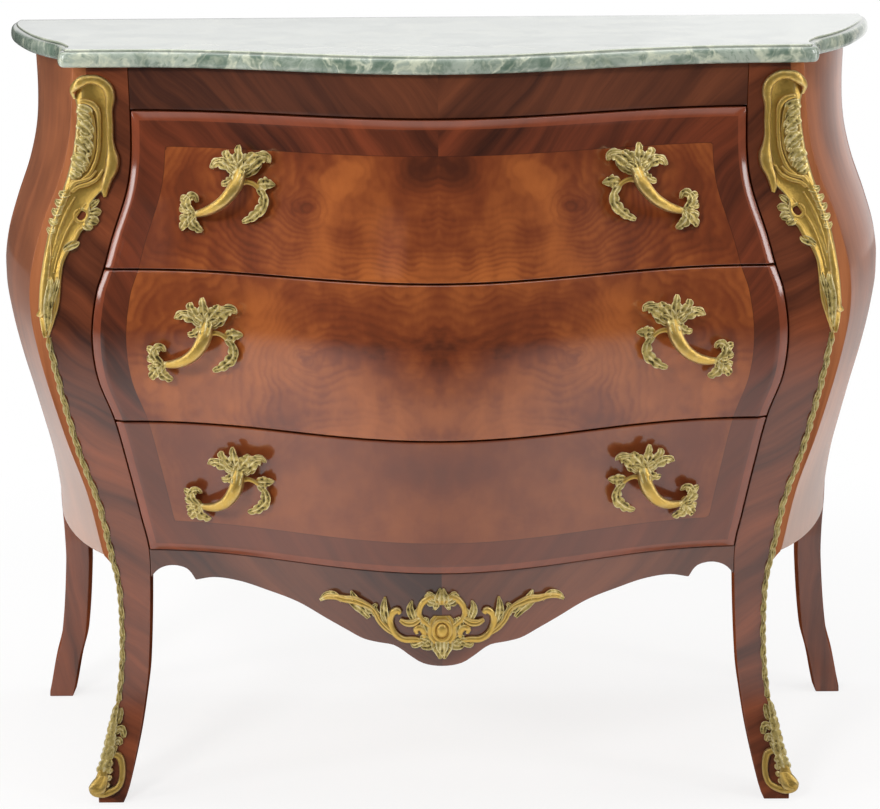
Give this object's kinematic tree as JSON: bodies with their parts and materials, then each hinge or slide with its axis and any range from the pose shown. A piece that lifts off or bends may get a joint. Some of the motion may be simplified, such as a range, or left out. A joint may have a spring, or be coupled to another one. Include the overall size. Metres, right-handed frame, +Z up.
{
  "type": "commode chest",
  "caption": "Swelling serpentine commode chest of drawers in figured veneer, with a grey-green marble top, cabriole legs, leafy gilt brass handles, corner mounts, apron mount and foot mounts",
  "frame": {"origin": "on the floor, under the middle of the bounding box of the closed chest", "axes": "+X to the right of someone who faces the drawers, +Y from the drawers to the back, +Z up"},
  "size_m": [1.059, 0.5216, 0.844],
  "materials": {
    "banding": "dark reddish straight veneer under gloss lacquer",
    "burl": "orange-brown bookmatched figured veneer in a dark cross band, under gloss lacquer",
    "side_veneer": "brown veneer under gloss lacquer",
    "boards": "plain unfinished boards",
    "marble": "polished grey-green marble, fully opaque",
    "brass": "cast and gilt, with darker recesses",
    "steel": "plain screws"
  },
  "bodies": {
    "carcass": {"marble_top": "marble", "front_leg_right": "banding", "front_leg_left": "banding", "back_leg_right": "banding", "back_leg_left": "banding", "side_panel_right": "side_veneer", "side_panel_left": "side_veneer", "top_rail": "banding", "apron": "banding", "back_panel": "boards", "back_top_rail": "boards", "upper_dust_board": "boards", "lower_dust_board": "boards", "bottom_board": "boards", "top_drawer_guide_right": "boards", "top_drawer_guide_left": "boards", "middle_drawer_guide_right": "boards", "middle_drawer_guide_left": "boards", "bottom_drawer_guide_right": "boards", "bottom_drawer_guide_left": "boards", "chute_right": "brass", "chute_left": "brass", "keel_band_right": "brass", "keel_band_left": "brass", "sabot_right": "brass", "sabot_left": "brass", "apron_mount": "brass"},
    "top_drawer": {"top_drawer_front": "burl", "top_drawer_side_right": "boards", "top_drawer_side_left": "boards", "top_drawer_back": "boards", "top_drawer_bottom": "boards", "top_drawer_handle_left": "brass", "top_drawer_handle_left_upper_screw": "steel", "top_drawer_handle_left_lower_screw": "steel", "top_drawer_handle_right": "brass", "top_drawer_handle_right_upper_screw": "steel", "top_drawer_handle_right_lower_screw": "steel"},
    "middle_drawer": {"middle_drawer_front": "burl", "middle_drawer_side_right": "boards", "middle_drawer_side_left": "boards", "middle_drawer_back": "boards", "middle_drawer_bottom": "boards", "middle_drawer_handle_left": "brass", "middle_drawer_handle_left_upper_screw": "steel", "middle_drawer_handle_left_lower_screw": "steel", "middle_drawer_handle_right": "brass", "middle_drawer_handle_right_upper_screw": "steel", "middle_drawer_handle_right_lower_screw": "steel"},
    "bottom_drawer": {"bottom_drawer_front": "burl", "bottom_drawer_side_right": "boards", "bottom_drawer_side_left": "boards", "bottom_drawer_back": "boards", "bottom_drawer_bottom": "boards", "bottom_drawer_handle_left": "brass", "bottom_drawer_handle_left_upper_screw": "steel", "bottom_drawer_handle_left_lower_screw": "steel", "bottom_drawer_handle_right": "brass", "bottom_drawer_handle_right_upper_screw": "steel", "bottom_drawer_handle_right_lower_screw": "steel"}
  },
  "joints": [
    {"name": "top_drawer_slide", "type": "slide", "parent": "carcass", "child": "top_drawer", "axis": [0, -1, 0], "range_m": [0, 0.3]},
    {"name": "middle_drawer_slide", "type": "slide", "parent": "carcass", "child": "middle_drawer", "axis": [0, -1, 0], "range_m": [0, 0.3]},
    {"name": "bottom_drawer_slide", "type": "slide", "parent": "carcass", "child": "bottom_drawer", "axis": [0, -1, 0], "range_m": [0, 0.3]}
  ]
}
